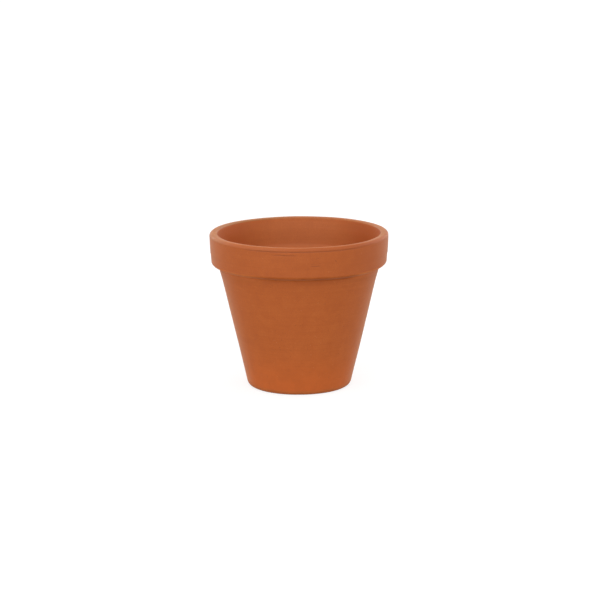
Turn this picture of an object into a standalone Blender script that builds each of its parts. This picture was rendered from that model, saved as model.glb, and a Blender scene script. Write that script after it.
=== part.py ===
"""Standard clay flowerpot, 6 inch class, in one piece.

The pot is pressed from a single lump of clay and fired, so wall, collar, lip
and floor are one solid of revolution about +Z. Its section is drawn once in
the XZ plane, as a closed loop that never touches the axis (the drain hole
keeps it clear), and that loop is spun a full turn.

Origin: centre of the foot, on the plane the pot stands on. +Z is up.
Units: metres. A "depth" is measured down from the lip, except RECESS_DEPTH.
"""

import math

import bmesh
import bpy
from mathutils import Matrix, Vector

# ---------------------------------------------------------------- dimensions
HEIGHT = 0.1352             # foot to the top of the lip
LIP_RADIUS = 0.0775         # widest radius, just under the rounded lip
LIP_ROUND = 0.0028          # outer rounding of the lip
LIP_INNER_RADIUS = 0.0705   # mouth of the pot
LIP_INNER_ROUND = 0.0013    # inner rounding of the lip

COLLAR_SEAM_DEPTH = 0.0170  # the two halves of the press tool meet here
COLLAR_SEAM_DROP = 0.0018   # height over which the step at the seam fades out
COLLAR_UPPER_RADIUS = 0.0768
COLLAR_LOWER_RADIUS = 0.0764
COLLAR_EDGE_RADIUS = 0.0760  # bottom of the collar's straight outer face
COLLAR_EDGE_DEPTH = 0.0250
COLLAR_TURN_RADIUS = 0.07586  # corner that the rounded underside cuts off
COLLAR_TURN_DEPTH = 0.0274
SHOULDER_RADIUS = 0.0695    # where the underside of the collar meets the wall
SHOULDER_DEPTH = 0.0290
SHOULDER_ROUND = 0.0012     # length the hollow rounding takes off each side of that corner

FOOT_CORNER_RADIUS = 0.04566  # outer wall where the foot rounding ends
FOOT_CORNER_HEIGHT = 0.0044
FOOT_RADIUS = 0.0410        # outer edge of the flat foot ring
FOOT_RING_INNER = 0.0315    # inner edge of the flat foot ring
RECESS_RADIUS = 0.0280      # shallow hollow under the floor
RECESS_DEPTH = 0.0015       # height of that hollow above the standing plane

WALL = 0.0065               # wall thickness, measured square to the wall
FLOOR_TOP = 0.0085          # inner floor above the standing plane
FLOOR_ROUND = 0.0090        # inner corner between floor and wall

INNER_COLLAR_RADIUS = 0.0684  # inner wall at the top of the inner shoulder
INNER_SHOULDER_TOP_DEPTH = 0.0235
INNER_SHOULDER_END_DEPTH = 0.0325
# The inner shoulder is an S of two bends; these place the corner of each bend.
INNER_BEND_SHIFT = 0.0003   # radially, from the end of the S
INNER_BEND_RISE = 0.0022    # vertically, from the middle of the S

DRAIN_RADIUS = 0.0110
DRAIN_ROUND = 0.0012

# Radius the straight flank gains per unit of height
FLARE = (SHOULDER_RADIUS - FOOT_CORNER_RADIUS) / (
    HEIGHT - SHOULDER_DEPTH - FOOT_CORNER_HEIGHT
)

SEGMENTS = 96               # facets around the pot
MERGE_DISTANCE = 1e-6       # closes the seam of the spin
SHARP_ANGLE = 40            # degrees; steeper edges are shaded sharp

CLAY = (0.448, 0.126, 0.040, 1.0)
CLAY_ROUGHNESS = 0.88


# ---------------------------------------------------------------- curves
def straight(start, end, steps):
    """Points from start to end, without end."""
    return [
        tuple(p + (q - p) * i / steps for p, q in zip(start, end))
        for i in range(steps)
    ]


def arc(centre, radius, start, end, steps):
    """Points on a circle, both ends included. Angles in degrees from +X towards +Z."""
    points = []
    for i in range(steps + 1):
        angle = math.radians(start + (end - start) * i / steps)
        points.append(
            (centre[0] + radius * math.cos(angle), centre[1] + radius * math.sin(angle))
        )
    return points


def bend(start, corner, end, steps):
    """A parabola from start to end, tangent to the lines through corner, both ends included."""
    points = []
    for i in range(steps + 1):
        share = i / steps
        points.append(
            tuple(
                (1 - share) ** 2 * p + 2 * share * (1 - share) * c + share * share * q
                for p, c, q in zip(start, corner, end)
            )
        )
    return points


def along(start, end, distance):
    """The point this far from start towards end."""
    share = distance / math.dist(start, end)
    return tuple(p + (q - p) * share for p, q in zip(start, end))


# ---------------------------------------------------------------- section
def outer_wall_radius(z):
    """The straight flank between the foot and the collar, continued both ways."""
    return FOOT_CORNER_RADIUS + FLARE * (z - FOOT_CORNER_HEIGHT)


def inner_wall_radius(z):
    """The inner wall, parallel to the flank and WALL away from it."""
    return outer_wall_radius(z) - WALL * math.hypot(1, FLARE)


def outside():
    """From the foot ring's outer edge up to the step at the collar's seam."""
    # rounded corner from the flat foot ring up into the flank
    foot_corner = (FOOT_CORNER_RADIUS, FOOT_CORNER_HEIGHT)
    points = bend((FOOT_RADIUS, 0.0), (outer_wall_radius(0.0), 0.0), foot_corner, steps=5)

    # flank, up to the hollow corner under the collar
    shoulder = (SHOULDER_RADIUS, HEIGHT - SHOULDER_DEPTH)
    turn = (COLLAR_TURN_RADIUS, HEIGHT - COLLAR_TURN_DEPTH)
    flank_end = along(shoulder, foot_corner, SHOULDER_ROUND)
    underside_start = along(shoulder, turn, SHOULDER_ROUND)
    points += straight(foot_corner, flank_end, steps=6)[1:]
    points += bend(flank_end, shoulder, underside_start, steps=3)[:-1]

    # underside of the collar, rounded over into its outer face
    edge = (COLLAR_EDGE_RADIUS, HEIGHT - COLLAR_EDGE_DEPTH)
    points += bend(underside_start, turn, edge, steps=7)

    # lower band, then the step at the seam
    seam_z = HEIGHT - COLLAR_SEAM_DEPTH
    points += [
        (COLLAR_LOWER_RADIUS, seam_z - COLLAR_SEAM_DROP),
        (COLLAR_UPPER_RADIUS, seam_z),
    ]
    return points


def lip():
    """Outer rounding, flat land, inner rounding."""
    outer_centre = (LIP_RADIUS - LIP_ROUND, HEIGHT - LIP_ROUND)
    inner_centre = (LIP_INNER_RADIUS + LIP_INNER_ROUND, HEIGHT - LIP_INNER_ROUND)
    return (
        arc(outer_centre, LIP_ROUND, start=0, end=90, steps=6)
        + arc(inner_centre, LIP_INNER_ROUND, start=90, end=180, steps=4)
    )


def inside():
    """From the inside of the collar down to the flat floor."""
    # soft S-shaped shoulder from the collar to the tapering wall
    top = (INNER_COLLAR_RADIUS, HEIGHT - INNER_SHOULDER_TOP_DEPTH)
    end_z = HEIGHT - INNER_SHOULDER_END_DEPTH
    end = (inner_wall_radius(end_z), end_z)
    middle = ((top[0] + end[0]) / 2, (top[1] + end[1]) / 2)
    upper_corner = (top[0] - INNER_BEND_SHIFT, middle[1] + INNER_BEND_RISE)
    lower_corner = (end[0] + INNER_BEND_SHIFT, middle[1] - INNER_BEND_RISE)
    points = bend(top, upper_corner, middle, steps=3)
    points += bend(middle, lower_corner, end, steps=3)[1:]

    # tapering wall, rounded into the floor; reach is the tangent length of the rounding
    lean = math.atan(FLARE)
    reach = FLOOR_ROUND * math.tan((math.pi / 2 - lean) / 2)
    corner = (inner_wall_radius(FLOOR_TOP), FLOOR_TOP)
    wall_end = (corner[0] + reach * math.sin(lean), corner[1] + reach * math.cos(lean))
    points += straight(end, wall_end, steps=5)[1:]
    points += bend(wall_end, corner, (corner[0] - reach, FLOOR_TOP), steps=5)
    return points


def drain_and_recess():
    """Down the drain hole, both mouths rounded, and out under the floor to the foot ring."""
    centre_radius = DRAIN_RADIUS + DRAIN_ROUND
    upper_centre = (centre_radius, FLOOR_TOP - DRAIN_ROUND)
    lower_centre = (centre_radius, RECESS_DEPTH + DRAIN_ROUND)
    return (
        arc(upper_centre, DRAIN_ROUND, start=90, end=180, steps=3)
        + arc(lower_centre, DRAIN_ROUND, start=180, end=270, steps=3)
        + [(RECESS_RADIUS, RECESS_DEPTH), (FOOT_RING_INNER, 0.0)]
    )


def section():
    """The closed section (radius, height), counter-clockwise from the foot ring's outer edge."""
    return outside() + lip() + inside() + drain_and_recess()


# ---------------------------------------------------------------- object
def turned(name, points, segments):
    """A solid of revolution about Z from a closed section."""
    bm = bmesh.new()
    ring = [bm.verts.new((radius, 0.0, z)) for radius, z in points]
    edges = [bm.edges.new((ring[i - 1], ring[i])) for i in range(len(ring))]
    bmesh.ops.spin(
        bm,
        geom=ring + edges,
        cent=Vector((0, 0, 0)),
        axis=Vector((0, 0, 1)),
        dvec=Vector((0, 0, 0)),
        angle=math.tau,
        space=Matrix.Identity(4),
        steps=segments,
        use_merge=True,
        use_duplicate=False,
    )
    bmesh.ops.remove_doubles(bm, verts=bm.verts[:], dist=MERGE_DISTANCE)
    bmesh.ops.recalc_face_normals(bm, faces=bm.faces[:])
    mesh = bpy.data.meshes.new(name)
    bm.to_mesh(mesh)
    bm.free()
    mesh.shade_smooth()
    mesh.set_sharp_from_angle(angle=math.radians(SHARP_ANGLE))
    obj = bpy.data.objects.new(name, mesh)
    bpy.context.scene.collection.objects.link(obj)
    return obj


def clay():
    """Unglazed fired clay: matt, red-orange, no metal."""
    material = bpy.data.materials.new("terracotta")
    material.use_nodes = True
    shader = material.node_tree.nodes["Principled BSDF"]
    shader.inputs["Base Color"].default_value = CLAY
    shader.inputs["Roughness"].default_value = CLAY_ROUGHNESS
    shader.inputs["Metallic"].default_value = 0.0
    material.diffuse_color = CLAY
    return material


for old in list(bpy.data.objects):
    bpy.data.objects.remove(old, do_unlink=True)

pot = turned("pot", section(), SEGMENTS)
pot.data.materials.append(clay())
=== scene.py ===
import math

import bpy
import numpy as np
from mathutils import Matrix, Vector


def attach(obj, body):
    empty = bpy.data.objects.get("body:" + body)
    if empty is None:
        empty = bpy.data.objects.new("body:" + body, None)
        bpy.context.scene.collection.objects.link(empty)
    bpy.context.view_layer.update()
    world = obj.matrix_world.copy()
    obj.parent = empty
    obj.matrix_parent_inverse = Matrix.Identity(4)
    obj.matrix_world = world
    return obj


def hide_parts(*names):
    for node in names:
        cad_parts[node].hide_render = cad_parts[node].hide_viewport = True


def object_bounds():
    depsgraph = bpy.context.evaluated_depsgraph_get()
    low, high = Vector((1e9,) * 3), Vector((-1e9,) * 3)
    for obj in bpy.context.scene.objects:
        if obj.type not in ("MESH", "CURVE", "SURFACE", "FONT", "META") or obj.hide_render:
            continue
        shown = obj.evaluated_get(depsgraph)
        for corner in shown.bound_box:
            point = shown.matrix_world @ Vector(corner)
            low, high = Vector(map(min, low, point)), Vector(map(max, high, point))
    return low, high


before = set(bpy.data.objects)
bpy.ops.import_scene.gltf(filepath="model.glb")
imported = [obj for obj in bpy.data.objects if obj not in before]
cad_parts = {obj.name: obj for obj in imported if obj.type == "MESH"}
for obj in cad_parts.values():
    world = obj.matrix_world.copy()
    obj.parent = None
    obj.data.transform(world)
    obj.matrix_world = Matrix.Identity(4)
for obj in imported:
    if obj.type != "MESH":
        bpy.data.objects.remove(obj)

cad_low, cad_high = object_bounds()

# The looks of the clay flowerpot. Everything is in the row frame: origin at the centre of the foot, +Z up,
# the front towards -Y. Section sizes are in millimetres and become metres when the mesh is made.

# ------------------------------------------------------------------ the pot's section
HEIGHT = (cad_high.z - cad_low.z) * 1000
LIP_RADIUS = (cad_high.x - cad_low.x) * 500
SEGMENTS = 264

FRONT = math.radians(-90)  # direction of the side that faces the camera


def lerp(a, b, n):
    """n points from a towards b, a included and b left out."""
    t = np.arange(n)[:, None] / n
    return np.array(a, float) * (1 - t) + np.array(b, float) * t


def bend(a, corner, b, n):
    """n points on the parabola from a to b whose tangents meet at corner, b left out."""
    t = np.arange(n)[:, None] / n
    a, c, b = (np.array(p, float) for p in (a, corner, b))
    return (1 - t) ** 2 * a + 2 * t * (1 - t) * c + t**2 * b


def arc(centre, radius, start, end, n):
    """n points on a circle from start to end, in degrees, the end left out."""
    t = np.radians(start + (end - start) * np.arange(n) / n)
    return np.stack([centre[0] + radius * np.cos(t), centre[1] + radius * np.sin(t)], 1)


def towards(a, b, distance):
    a, b = np.array(a, float), np.array(b, float)
    return a + (b - a) / np.linalg.norm(b - a) * distance


def smooth(x, low, high):
    """0 below low, 1 above high, with a soft ramp between them."""
    t = np.clip((x - low) / (high - low), 0, 1)
    return t * t * (3 - 2 * t)


top = HEIGHT
corner = (45.66, 4.4)
shoulder = (69.5, top - 29.0)
turn_point = (75.86, top - 27.4)
edge = (76.0, top - 25.0)
seam_low = (76.4, top - 18.8)
seam_high = (76.8, top - 17.0)
flare = (shoulder[0] - corner[0]) / (shoulder[1] - corner[1])
WALL = 6.5 * math.hypot(1, flare)
FLOOR = 8.5


def inner(z):
    return corner[0] + (z - corner[1]) * flare - WALL


lip_start = (LIP_RADIUS, top - 2.8)
in_top = (68.4, top - 23.5)
in_end = (inner(top - 32.5), top - 32.5)
in_mid = ((in_top[0] + in_end[0]) / 2, (in_top[1] + in_end[1]) / 2)
reach = 9.0 * math.tan((math.pi / 2 - math.atan(flare)) / 2)
floor_corner = (inner(FLOOR), FLOOR)
floor_up = towards(floor_corner, (inner(FLOOR + 50), FLOOR + 50), reach)


def on_collar(z):
    """The collar's upper face at height z."""
    share = (z - seam_high[1]) / (lip_start[1] - seam_high[1])
    return (seam_high[0] + (lip_start[0] - seam_high[0]) * share, z)


flank_end = towards(shoulder, corner, 1.2)
under_start = towards(shoulder, turn_point, 1.2)
step = np.arange(8) / 8
section = [
    ("foot", lerp((31.5, 0.0), (41.0, 0.0), 7)),
    ("foot_round", bend((41.0, 0.0), (corner[0] - flare * corner[1], 0.0), corner, 12)),
    ("flank", lerp(corner, flank_end, 100)),
    ("hollow", bend(flank_end, shoulder, under_start, 7)),
    ("under", bend(under_start, turn_point, edge, 18)),
    ("collar", lerp(edge, seam_low, 5)),
    (
        "seam",
        np.stack(
            [
                seam_low[0] + (seam_high[0] - seam_low[0]) * smooth(step, 0, 1),
                seam_low[1] + (seam_high[1] - seam_low[1]) * step,
            ],
            1,
        ),
    ),
    ("collar", lerp(seam_high, on_collar(top - 16.0), 2)),
    ("collar", lerp(on_collar(top - 16.0), on_collar(top - 13.4), 13)),
    ("collar", lerp(on_collar(top - 13.4), on_collar(top - 7.0), 8)),
    ("collar", lerp(on_collar(top - 7.0), lip_start, 21)),
    ("lip", arc((LIP_RADIUS - 2.8, top - 2.8), 2.8, 0, 90, 16)),
    ("land", lerp((LIP_RADIUS - 2.8, top), (71.8, top), 5)),
    ("lip_in", arc((71.8, top - 1.3), 1.3, 90, 180, 8)),
    ("mouth", lerp((70.5, top - 1.3), in_top, 20)),
    ("step", bend(in_top, (in_top[0] - 0.3, in_mid[1] + 2.2), in_mid, 8)),
    ("step", bend(in_mid, (in_end[0] + 0.3, in_mid[1] - 2.2), in_end, 8)),
    ("inside", lerp(in_end, floor_up, 44)),
    ("floor_round", bend(floor_up, floor_corner, (floor_corner[0] - reach, FLOOR), 10)),
    ("floor", lerp((floor_corner[0] - reach, FLOOR), (12.2, FLOOR), 14)),
    ("hole", arc((12.2, FLOOR - 1.2), 1.2, 90, 180, 5)),
    ("hole", lerp((11.0, FLOOR - 1.2), (11.0, 2.7), 4)),
    ("hole", arc((12.2, 2.7), 1.2, 180, 270, 5)),
    ("recess", lerp((12.2, 1.5), (28.0, 1.5), 11)),
    ("recess", lerp((28.0, 1.5), (31.5, 0.0), 4)),
]
label = np.concatenate([[name] * len(points) for name, points in section])
profile = np.concatenate([points for _, points in section])


# ------------------------------------------------------------------ relief on the clay
def lattice(i, j, k, seed):
    """A repeatable number from -1 to 1 for each whole-number point."""
    h = (i * 374761393 + j * 668265263 + k * 1440662683 + seed * 1274126177) & 0xFFFFFFFF
    h = ((h ^ (h >> 13)) * 1274126177) & 0xFFFFFFFF
    h = ((h ^ (h >> 15)) * 1103515245) & 0xFFFFFFFF
    return (h ^ (h >> 16)) / 0x7FFFFFFF - 1


def noise(x, y, z, seed):
    """Smooth value noise in three dimensions, from about -1 to 1."""
    i, j, k = (np.floor(v).astype(np.int64) for v in (x, y, z))
    u, v, w = (c - np.floor(c) for c in (x, y, z))
    u, v, w = (c**3 * (c * (6 * c - 15) + 10) for c in (u, v, w))
    total = 0
    for a in (0, 1):
        for b in (0, 1):
            for c in (0, 1):
                weight = (u if a else 1 - u) * (v if b else 1 - v) * (w if c else 1 - w)
                total = total + weight * lattice(i + a, j + b, k + c, seed)
    return total


def cloud(x, y, z, seed, octaves=3):
    return sum(noise(x * 2**o, y * 2**o, z * 2**o, seed + o) / 2**o for o in range(octaves))


def bump(x, width):
    return np.exp(-((x / width) ** 2))


def arc_mask(turn, centre, half, soft):
    """1 within half degrees of centre, counted round from the front, fading out over soft degrees."""
    off = np.abs((np.degrees(turn - FRONT) - centre + 180) % 360 - 180)
    return 1 - smooth(off, half - soft / 2, half + soft / 2)


n = len(profile)
ahead, behind = np.roll(profile, -1, 0), np.roll(profile, 1, 0)
tangent = ahead - behind
tangent /= np.linalg.norm(tangent, axis=1)[:, None]
normal = np.stack([tangent[:, 1], -tangent[:, 0]], 1)
length = np.concatenate([[0], np.cumsum(np.linalg.norm(np.diff(profile, axis=0), axis=1))])

turn = np.arange(SEGMENTS) * math.tau / SEGMENTS
T, R = np.meshgrid(turn, profile[:, 0])
Z = np.repeat(profile[:, 1][:, None], SEGMENTS, 1)
S = np.repeat(length[:, None], SEGMENTS, 1)
X, Y = R * np.cos(T), R * np.sin(T)


def where(*names):
    return np.isin(label, names)[:, None].astype(float)


def soft_where(*names):
    """where(), with its ends softened along the section so that relief fades in and out."""
    m = np.isin(label, names).astype(float)
    for _ in range(3):
        m = (np.roll(m, 1) + m + np.roll(m, -1)) / 3
    return (m * np.isin(label, names))[:, None]


# slow unevenness of hand-finished clay
unevenness = 0.09 * cloud(X / 34, Y / 34, Z / 30, 11, 2) * (1 - where("foot"))
unevenness += 0.022 * cloud(X / 7, Y / 7, Z / 5, 21, 2) * (1 - 0.7 * where("land", "foot"))

# turning lines: the spinning tool leaves shallow rings, strongest on the inside
sway = noise(np.cos(T) * 1.3, np.sin(T) * 1.3, S / 40, 31) * 0.8
rings = np.zeros_like(R)
for k, (pitch, size) in enumerate(((4.1, 0.35), (6.3, 0.5), (9.7, 0.7))):
    strength = 0.5 + 0.5 * noise(np.cos(T) * 1.1, np.sin(T) * 1.1, S / 16 + 9 * k, 41 + k)
    rings += size * strength * np.sin(math.tau * (S + sway) / pitch + 1.7 * k)
marks = rings * (
    0.016 * soft_where("flank", "collar", "under")
    + 0.040 * soft_where("mouth", "inside", "step")
    + 0.020 * soft_where("floor", "recess")
)

# drawn lines just under the lip, where the rim was wiped; each fades out round the pot
depth = top - Z
collar = where("collar", "lip")
for at, wide, deep, centre, half, soft, lean in (
    (3.35, 0.46, 0.190, 4, 39, 18, 0.0060),
    (6.45, 0.34, 0.110, -9, 7, 5, 0.0),
    (5.30, 0.36, -0.060, -11, 7, 6, 0.0),
    (3.05, 0.40, 0.075, 118, 48, 30, 0.0),
    (4.75, 0.36, 0.060, 171, 26, 18, 0.0040),
    (3.40, 0.40, 0.085, -126, 38, 24, 0.0),
    (8.10, 0.34, 0.035, -84, 17, 12, 0.0),
    (10.6, 0.34, 0.030, 74, 14, 12, 0.0),
):
    off = (np.degrees(T - FRONT) - centre + 180) % 360 - 180
    line = at + lean * np.abs(off) * 0.6 + 0.10 * noise(np.cos(T) * 2, np.sin(T) * 2, 0 * T + centre, 61)
    marks -= collar * deep * bump(depth - line, wide) * arc_mask(T, centre, half, soft)

# a short nick in the collar, right of the front
nick = arc_mask(T, 10.4, 3.0, 2.6)
marks -= where("collar") * nick * (0.13 * bump(depth - 15.7, 0.34) + 0.07 * bump(depth - 14.1, 0.34))
marks += where("collar") * nick * 0.06 * bump(depth - 14.9, 0.36)
for centre, at, half, deep in ((-63, 12.4, 1.7, 0.06), (97, 14.6, 2.4, 0.07), (205, 9.7, 1.5, 0.06)):
    marks -= where("collar") * arc_mask(T, centre, half, 2.4) * deep * bump(depth - at, 0.45)

# the punched drain hole is a little ragged, and drag marks ring it underneath
ragged = noise(np.cos(T) * 2.6, np.sin(T) * 2.6, Z * 0, 71) + 0.6 * noise(np.cos(T) * 7, np.sin(T) * 7, Z / 3, 72)
near_hole = np.exp(-((np.clip(R - 11, 0, None) / 1.1) ** 2))
ragged *= 0.16 * near_hole * where("hole", "floor", "recess")

# the step at the seam was wiped almost flat on the front
straight = edge[0] + (on_collar(top - 12.0)[0] - edge[0]) * (depth - 25.0) / (12.0 - 25.0)
wiped = where("collar", "seam") * (1 - smooth(depth, 24.0, 25.0)) * smooth(depth, 12.0, 13.0)
wiped = wiped * (straight - R) * 0.85 * arc_mask(T, -4, 62, 30)

relief = unevenness + marks + ragged + wiped

R = R + relief * normal[:, 0][:, None]
Z = Z + relief * normal[:, 1][:, None]

# fired clay is never quite round or level at the rim
R = R * (1 + 0.0005 * np.sin(2 * T + 0.7) + 0.0003 * np.sin(3 * T + 2.1))
Z = Z + smooth(Z, 70, top) * (0.05 * np.sin(2 * T + 2.6) + 0.03 * np.sin(3 * T + 0.4))
Z = Z - smooth(Z, 70, top) * 0.28 * arc_mask(T, -135, 65, 80)

# the lip is a little thinner than drawn, and at its front the top was wiped to a slight slope towards the inside
slope = where("land") * (1 - smooth(R, 72.0, 74.7)) + where("lip_in", "mouth") * smooth(Z, top - 12, top - 2)
Z = Z - 0.58 * slope * arc_mask(T, -3, 72, 46)
R = R + 0.26 * slope

# on its sides the wall swells a little into the corner under the collar, whose left side hangs slightly lower
swell = where("flank", "hollow") * smooth(Z, shoulder[1] - 14, shoulder[1] - 1.5) + where("under") * (1 - smooth(R, 70.0, 75.0))
R = R + 0.42 * swell * (1 - arc_mask(T, 0, 45, 30))
sag = where("under") * smooth(R, 70.5, 74.0) + where("collar") * smooth(depth, 20.0, 25.5)
Z = Z - 0.35 * sag * arc_mask(T, -72, 38, 30)
sag = where("hollow", "under") + where("flank") * smooth(Z, shoulder[1] - 14, shoulder[1] - 1.5)
sag = sag + where("collar") * smooth(depth, 20.0, 25.5)
Z = Z - 0.45 * sag * arc_mask(T, 42, 22, 26)
Z = np.where(where("foot") > 0, 0.0, np.maximum(Z, 0.0))

aside = 0.32 * (1 - smooth(Z, 0, 36))  # the foot sits a little off the axis
vertices = np.stack([R * np.cos(T) - aside, R * np.sin(T), Z], 2).reshape(-1, 3) / 1000

row, col = np.meshgrid(np.arange(n), np.arange(SEGMENTS), indexing="ij")
next_row, next_col = (row + 1) % n, (col + 1) % SEGMENTS
quads = np.stack(
    [
        row * SEGMENTS + col,
        row * SEGMENTS + next_col,
        next_row * SEGMENTS + next_col,
        next_row * SEGMENTS + col,
    ],
    2,
).reshape(-1, 4)

mesh = bpy.data.meshes.new("flowerpot")
mesh.vertices.add(len(vertices))
mesh.vertices.foreach_set("co", vertices.astype(np.float32).ravel())
mesh.loops.add(quads.size)
mesh.loops.foreach_set("vertex_index", quads.astype(np.int32).ravel())
mesh.polygons.add(len(quads))
mesh.polygons.foreach_set("loop_start", np.arange(0, quads.size, 4, dtype=np.int32))
mesh.polygons.foreach_set("loop_total", np.full(len(quads), 4, dtype=np.int32))
mesh.update(calc_edges=True)
mesh.validate()
mesh.shade_smooth()
flowerpot = bpy.data.objects.new("flowerpot", mesh)
bpy.context.scene.collection.objects.link(flowerpot)


def paint(name, values):
    """Stores one number a vertex, for the material to read."""
    layer = mesh.attributes.new(name, "FLOAT", "POINT")
    layer.data.foreach_set("value", np.broadcast_to(values, R.shape).astype(np.float32).ravel())


# convex edges: partly rubbed wear, partly a painted highlight where the edges catch the light
turning = np.abs(np.cross(normal, np.roll(normal, -1, 0))) + np.abs(np.cross(np.roll(normal, 1, 0), normal))
spacing = np.linalg.norm(ahead - behind, axis=1)
convex = np.sign(np.cross(tangent, np.roll(tangent, -1, 0)))
rub_and_edge_light = np.clip(convex, 0, 1) * smooth(turning / spacing, 0.25, 0.75)
for _ in range(2):
    rub_and_edge_light = (np.roll(rub_and_edge_light, 1) + 2 * rub_and_edge_light + np.roll(rub_and_edge_light, -1)) / 4
paint("rubbed_and_lit", rub_and_edge_light[:, None])
# the grooves and tool marks, which the material darkens as painted shade
paint("marks", np.clip(marks / 0.12, -1, 1))

# painted light and shade, with some dust and wear: the inside, the lip, the collar's sides, the corner under the
# collar and the foot are made paler or darker round the pot to stand in for how the light falls
around = (np.degrees(T - FRONT) + 180) % 360 - 180
off_front = np.abs(around)
within = soft_where("mouth", "step", "inside", "floor_round", "floor")
mottle = noise(np.cos(T) * 2, np.sin(T) * 2, Z / 40, 81)
# painted light on the lip: its left side and, at the front, its top made paler
painted_lip_light = where("lip", "land") * 0.15 * smooth(around, -120, -70) * (1 - smooth(around, -26, 2))
lip_top = where("land", "lip_in") + where("lip") * (1 - smooth(depth, 0.1, 0.7))
painted_lip_light = painted_lip_light + lip_top * 0.46 * (1 - smooth(off_front, 50, 85))
# the back of the inside made paler: a little dust, mostly painted light
paint("dust_and_painted_light", np.clip(within * (0.02 + 0.18 * smooth(off_front, 130, 172) + 0.04 * mottle) + painted_lip_light, 0, 1))
# painted shade on the collar's sides
painted_collar_shade = where("collar", "seam", "lip") * smooth(off_front, 20, 48) * (1 - smooth(off_front, 120, 160))
# painted shade inside: darker towards the sides of the mouth and in a thin line under the front lip
shade = within * (0.58 * (1 - smooth(off_front, 128, 160)) + 0.34 * smooth(around, 60, 100) * (1 - smooth(around, 125, 150)))
shade = shade + within * 0.45 * smooth(depth, 28.5, 30.5) * (1 - smooth(depth, 33, 40)) * smooth(off_front, 120, 150)
shade = shade + within * 0.15 * mottle + painted_collar_shade * (0.26 + 0.20 * smooth(around, -20, 40))
# painted shade on the lip, strongest at the front and right
shade += (where("lip") + 0.5 * where("land", "lip_in")) * (0.12 + 0.43 * smooth(around, -20, 25)) * (1 - smooth(off_front, 45, 80))
# painted shade on the back-left rim
back_left = where("land", "lip_in", "lip") * smooth(-around, 92, 120) * (1 - smooth(-around, 160, 178))
shade = shade + 0.30 * back_left
paint("shade", np.clip(shade, 0, 1))
# painted reflection and shade on the rim: its sides paled where they mirror the bright surroundings, the back-left
# darker, the right side of the lip less pale
right_lip = where("lip") * smooth(around, 40, 66) * (1 - smooth(around, 110, 140))
# the foot's rounding a little worn, with a painted contact shadow along its lowest edge
foot_wear_and_shadow = where("foot_round") * (0.14 + 0.30 * (1 - smooth(Z, 0.0, 1.6)))
paint("worn_and_painted_light", 0.28 * where("land", "lip_in", "lip") * smooth(off_front, 45, 75) + 0.18 * back_left - 0.18 * right_lip + foot_wear_and_shadow)
# painted sheen on the outer sides and, near the side edges, in the corner under the collar
at_side = smooth(off_front, 70, 84) * (1 - smooth(off_front, 90, 104))
on_sides = where("flank") + 0.74 * where("collar", "seam") + 0.3 * where("lip")
paint("painted_sheen", on_sides + where("hollow", "under") * at_side)
# the back of the inside mixed towards a yellower clay
paint("inside_tint", within * 0.24 * smooth(off_front, 122, 158))
# painted light: the corner under the collar, towards the sides, and the low step inside the back are made brighter
# where they lie in shade
corner_fill_light = where("flank", "hollow", "under") * bump(np.clip(shoulder[1] - Z, 0, None), 2.6)
corner_fill_light = corner_fill_light * (1 - 0.75 * smooth(Z, top - 27.0, top - 25.2))
corner_fill_light = 0.88 * corner_fill_light * (smooth(-around, 17, 42) + smooth(around, 35, 48)) * (1 - smooth(off_front, 80, 112))
low_step = smooth(depth, 19, 27) * (1 - smooth(depth, 27.5, 30.0))
paint("painted_fill_light", corner_fill_light + within * 0.22 * low_step * smooth(off_front, 135, 165))
mouth_side = within * smooth(off_front, 50, 80) * (1 - smooth(off_front, 112, 140))
paint("recessed", where("hollow", "under") * (1 + 2.4 * smooth(off_front, 94, 112)) + 1.8 * mouth_side)
# painted light from the floor, strongest at the foot
paint("painted_floor_bounce", (1 - smooth(Z, 4, 48)) * where("flank", "foot_round", "foot"))


# ------------------------------------------------------------------ fired clay
class Nodes:
    """Short names for the shader nodes used below."""

    def __init__(self, material):
        material.use_nodes = True
        self.tree = material.node_tree
        self.tree.nodes.clear()

    def add(self, kind, settings=None, **inputs):
        node = self.tree.nodes.new(kind)
        for key, value in (settings or {}).items():
            setattr(node, key, value)
        for key, value in inputs.items():
            socket = node.inputs[int(key[1:]) if key[1:].isdigit() else key.replace("_", " ")]
            if isinstance(value, bpy.types.NodeSocket):
                self.tree.links.new(value, socket)
            else:
                socket.default_value = value
        return node

    def math(self, operation, a, b=0.0, c=0.0, clamp=False):
        return self.add(
            "ShaderNodeMath", {"operation": operation, "use_clamp": clamp}, _0=a, _1=b, _2=c
        ).outputs[0]

    def noise(self, vector, scale, detail=2.0, rough=0.5, warp=0.0):
        return self.add(
            "ShaderNodeTexNoise", Vector=vector, Scale=scale, Detail=detail, Roughness=rough, Distortion=warp
        ).outputs["Fac"]

    def ramp(self, value, low, high, to_low=0.0, to_high=1.0, kind="SMOOTHSTEP"):
        return self.add(
            "ShaderNodeMapRange", {"interpolation_type": kind}, _0=value, _1=low, _2=high, _3=to_low, _4=to_high
        ).outputs[0]

    def mix(self, share, a, b, blend="MIX"):
        return self.add(
            "ShaderNodeMix", {"data_type": "RGBA", "blend_type": blend}, _0=share, _6=a, _7=b
        ).outputs[2]

    def read(self, name):
        return self.add("ShaderNodeAttribute", {"attribute_name": name}).outputs["Fac"]


CLAY = (0.545, 0.1240, 0.0165, 1.0)
CLAY_DARK = (0.455, 0.0960, 0.0115, 1.0)
CLAY_PALE = (0.640, 0.1680, 0.0300, 1.0)
CLAY_RED = (0.660, 0.1430, 0.0185, 1.0)
CLAY_LIT = (0.740, 0.2000, 0.0420, 1.0)
CLAY_DUST_AND_LIGHT = (0.690, 0.2650, 0.1050, 1.0)
CLAY_SHEEN_PAINT = (0.640, 0.2450, 0.1150, 1.0)
CLAY_WORN_AND_LIT = (0.420, 0.2300, 0.0850, 1.0)
CLAY_INSIDE_TINT = (0.520, 0.1620, 0.0280, 1.0)
CLAY_DEEP = (0.270, 0.0600, 0.0140, 1.0)

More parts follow.
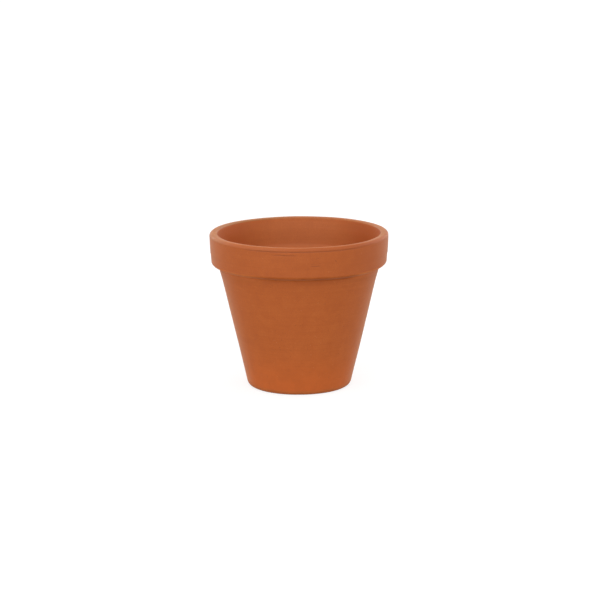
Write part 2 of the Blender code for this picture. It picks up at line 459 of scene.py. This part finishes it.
clay = bpy.data.materials.new("fired_clay")
k = Nodes(clay)
place = k.add("ShaderNodeTexCoord").outputs["Object"]
mm = k.add("ShaderNodeVectorMath", {"operation": "SCALE"}, _0=place, Scale=1000.0).outputs[0]
banded = k.add("ShaderNodeVectorMath", {"operation": "MULTIPLY"}, _0=mm, _1=(0.05, 0.05, 1.0)).outputs[0]

# Noises are about 0.5 on average, from coarse clouds to single grains of sand.
big = k.noise(mm, 0.022, 2, 0.5, 0.4)
middle = k.noise(mm, 0.12, 3, 0.55, 0.3)
bands = k.noise(banded, 0.50, 3, 0.6, 0.1)
fine = k.noise(mm, 0.9, 3, 0.65)
grit = k.noise(mm, 3.2, 2, 0.6)

tone = 0.5
for source, share in ((big, 0.30), (middle, 0.42), (bands, 0.34), (fine, 0.75), (grit, 0.70)):
    tone = k.math("MULTIPLY_ADD", k.math("SUBTRACT", source, 0.5), share, tone)
colour = k.mix(k.ramp(tone, 0.0, 0.5, 1.0, 0.0, "LINEAR"), CLAY, CLAY_DARK)
colour = k.mix(k.ramp(tone, 0.5, 1.0, 0.0, 1.0, "LINEAR"), colour, CLAY_PALE)

# painted light: the clay is made brighter and redder towards the foot, standing in for light thrown up from the floor
colour = k.mix(k.math("MULTIPLY", k.read("painted_floor_bounce"), k.ramp(middle, 0.3, 0.7, 0.55, 0.85)), colour, CLAY_RED)

# pores, and grains of pale sand showing at the surface
pores = k.add("ShaderNodeTexVoronoi", {"feature": "F1"}, Vector=mm, Scale=0.42, Randomness=1.0)
pit = k.math("LESS_THAN", pores.outputs["Distance"], k.ramp(k.noise(mm, 0.21, 0), 0.45, 0.8, 0.0, 0.19))
colour = k.mix(k.math("MULTIPLY", pit, 0.45), colour, CLAY_DEEP)
sand = k.add("ShaderNodeTexVoronoi", {"feature": "F1"}, Vector=mm, Scale=0.63, Randomness=1.0)
grain_size = k.ramp(k.noise(mm, 0.33, 0), 0.52, 0.85, 0.0, 0.22)
colour = k.mix(k.math("MULTIPLY", k.math("LESS_THAN", sand.outputs["Distance"], grain_size), 0.5), colour, CLAY_DUST_AND_LIGHT)

# convex edges paler as rubbed wear and painted highlight; grooves and tool marks darker as painted shade; painted
# light and shade on the inside, the lip and the corner under the collar
rubbed_and_lit = k.read("rubbed_and_lit")
colour = k.mix(k.math("MULTIPLY", rubbed_and_lit, k.ramp(middle, 0.3, 0.7, 0.03, 0.15)), colour, CLAY_DUST_AND_LIGHT)
# painted shade in the grooves and tool marks
painted_groove_shade = k.read("marks")
colour = k.mix(k.ramp(painted_groove_shade, -1.2, -0.15, 0.60, 0.0, "LINEAR"), colour, CLAY_DEEP)
# painted shade, mixed towards the darker clay
colour = k.mix(k.read("shade"), colour, CLAY_DARK)
# painted light, with a little dust, on the inside and the lip
colour = k.mix(k.math("MULTIPLY", k.read("dust_and_painted_light"), k.ramp(fine, 0.3, 0.7, 0.7, 1.0)), colour, CLAY_DUST_AND_LIGHT)
# painted light in the corner under the collar and on the inside step
colour = k.mix(k.read("painted_fill_light"), colour, CLAY_LIT)
# painted reflection and shade on the rim; wear and a painted contact shadow on the foot
colour = k.mix(k.read("worn_and_painted_light"), colour, CLAY_WORN_AND_LIT)
colour = k.mix(k.read("inside_tint"), colour, CLAY_INSIDE_TINT)

# painted sheen: the clay is paled where it is seen at a low angle, as a bright reflection would pale it
low_angle = k.add("ShaderNodeLayerWeight", Blend=0.5).outputs["Facing"]
painted_sheen = k.math("POWER", k.ramp(low_angle, 0.46, 0.84, kind="LINEAR"), 1.6)
colour = k.mix(k.math("MULTIPLY", painted_sheen, k.math("MULTIPLY", k.read("painted_sheen"), 0.62)), colour, CLAY_SHEEN_PAINT)

rough = k.ramp(fine, 0.3, 0.7, 0.58, 0.70)
rough = k.math("SUBTRACT", rough, k.math("MULTIPLY", rubbed_and_lit, 0.05))

height = k.math("MULTIPLY", fine, 0.55)
height = k.math("MULTIPLY_ADD", grit, 0.30, height)
height = k.math("MULTIPLY_ADD", bands, 0.40, height)
height = k.math("SUBTRACT", height, k.math("MULTIPLY", pit, 0.35))
grain = k.add("ShaderNodeBump", Strength=0.5, Distance=0.00015, Height=height).outputs[0]

surface = k.add(
    "ShaderNodeBsdfPrincipled",
    Base_Color=colour,
    Roughness=rough,
    Metallic=0.0,
    Diffuse_Roughness=0.5,
    IOR=1.5,
    Specular_IOR_Level=k.math("MULTIPLY_ADD", k.read("recessed"), -0.12, 0.5),
    Sheen_Weight=k.math("MULTIPLY_ADD", k.read("recessed"), -0.05, 0.22),
    Sheen_Roughness=0.27,
    Sheen_Tint=(1.0, 0.80, 0.62, 1.0),
    Normal=grain,
)
k.add("ShaderNodeOutputMaterial", Surface=surface.outputs[0])
clay.diffuse_color = CLAY
mesh.materials.append(clay)

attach(flowerpot, "root")
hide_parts("pot")

# ------------------------------------------------------------------ floor, light, camera
FLOOR_HALF = 30.0
ground = bpy.data.meshes.new("floor")
ground.from_pydata(
    [(x * FLOOR_HALF, y * FLOOR_HALF, 0.0) for x, y in ((-1, -1), (1, -1), (1, 1), (-1, 1))], [], [(0, 1, 2, 3)]
)
floor = bpy.data.objects.new("floor", ground)
bpy.context.scene.collection.objects.link(floor)

# The floor is a sheet lit from below: white to the camera with a faint shadow where the pot stands, and it throws
# only a muted light back on the pot.
FLOOR_PALE = (0.34, 0.34, 0.34, 1.0)
FLOOR_BOUNCE = (0.40, 0.40, 0.40, 1.0)
FLOOR_GLOW = 0.77
pale = bpy.data.materials.new("pale_floor")
f = Nodes(pale)
seen = f.add("ShaderNodeLightPath").outputs["Is Camera Ray"]
sheet = f.add("ShaderNodeBsdfDiffuse", Color=f.mix(seen, FLOOR_BOUNCE, FLOOR_PALE), Roughness=0.0)
spot = f.add("ShaderNodeVectorMath", {"operation": "LENGTH"}, _0=f.add("ShaderNodeTexCoord").outputs["Object"])
lit = f.ramp(spot.outputs["Value"], 0.031, 0.040, 0.0, FLOOR_GLOW)  # no glow seen through the drain hole
glow = f.add("ShaderNodeEmission", Strength=f.math("MULTIPLY", seen, lit))
f.add(
    "ShaderNodeOutputMaterial",
    Surface=f.add("ShaderNodeAddShader", _0=sheet.outputs[0], _1=glow.outputs[0]).outputs[0],
)
ground.materials.append(pale)

# The studio is an even white tent with softer and stronger parts: azimuth from the front towards the right,
# elevation, half-width in degrees and strength of each part, on top of the tent's own brightness.
TENT = 0.51
GLOWS = (
    (0, 5, 40, 0.51),
    (-45, 5, 40, 0.47),
    (-30, 30, 45, 0.89),
    (30, 30, 45, 0.74),
    (-75, 8, 30, 0.40),
    (75, 8, 30, 0.10),
    (-105, 8, 30, 0.22),
    (105, 8, 30, 1.14),
    (-130, 8, 30, 1.96),
    (130, 8, 30, 2.20),
    (-150, 8, 25, 1.27),
    (150, 8, 25, 1.22),
)

world = bpy.data.worlds.new("studio")
bpy.context.scene.world = world
w = Nodes(world)
direction = w.add("ShaderNodeTexCoord").outputs["Generated"]
strength = TENT
for azimuth, elevation, spread, power in GLOWS:
    a, e = math.radians(azimuth), math.radians(elevation)
    centre = (math.sin(a) * math.cos(e), -math.cos(a) * math.cos(e), math.sin(e))
    nearness = w.add("ShaderNodeVectorMath", {"operation": "DOT_PRODUCT"}, _0=direction, _1=centre).outputs["Value"]
    strength = w.math("ADD", strength, w.ramp(nearness, math.cos(math.radians(spread)), 1.0, 0.0, power))
seen = w.add("ShaderNodeLightPath").outputs["Is Camera Ray"]
strength = w.add(
    "ShaderNodeMix", {"data_type": "FLOAT"}, _0=seen, _2=strength, _3=1.02
).outputs[0]
w.add(
    "ShaderNodeOutputWorld",
    Surface=w.add("ShaderNodeBackground", Color=(1.0, 1.0, 1.0, 1.0), Strength=strength).outputs[0],
)

# The camera stands a little above the rim, two metres away.
DISTANCE, ELEVATION, ROLL = 2.0485, 12.50, -0.271
LENS = 141.01
MIDDLE = Vector((0.0, 0.0, 0.0676))
AIM_RIGHT, AIM_UP = 0.80, 7.53  # where the frame's centre lies from the pot's middle, in 600ths of the frame

e = math.radians(ELEVATION)
back = Vector((0.0, -math.cos(e), math.sin(e)))
eye = MIDDLE + back * DISTANCE
facing = (-back).to_track_quat("-Z", "Y").to_matrix()
pixel = 36.0 / 600 / LENS
roll = Matrix.Rotation(math.radians(ROLL), 3, "Z")
swing = Matrix.Rotation(-AIM_RIGHT * pixel, 3, "Y") @ Matrix.Rotation(AIM_UP * pixel, 3, "X")
lens = bpy.data.cameras.new("camera")
lens.lens = LENS
lens.sensor_width = 36.0
lens.clip_start = 0.05
lens.clip_end = 100.0
camera = bpy.data.objects.new("camera", lens)
camera.matrix_world = Matrix.Translation(eye) @ (facing @ swing @ roll).to_4x4()
bpy.context.scene.collection.objects.link(camera)
bpy.context.scene.camera = camera

bpy.context.scene.view_settings.view_transform = "Standard"
bpy.context.scene.view_settings.look = "None"
bpy.context.scene.view_settings.exposure = 0.0
bpy.context.scene.view_settings.gamma = 1.0
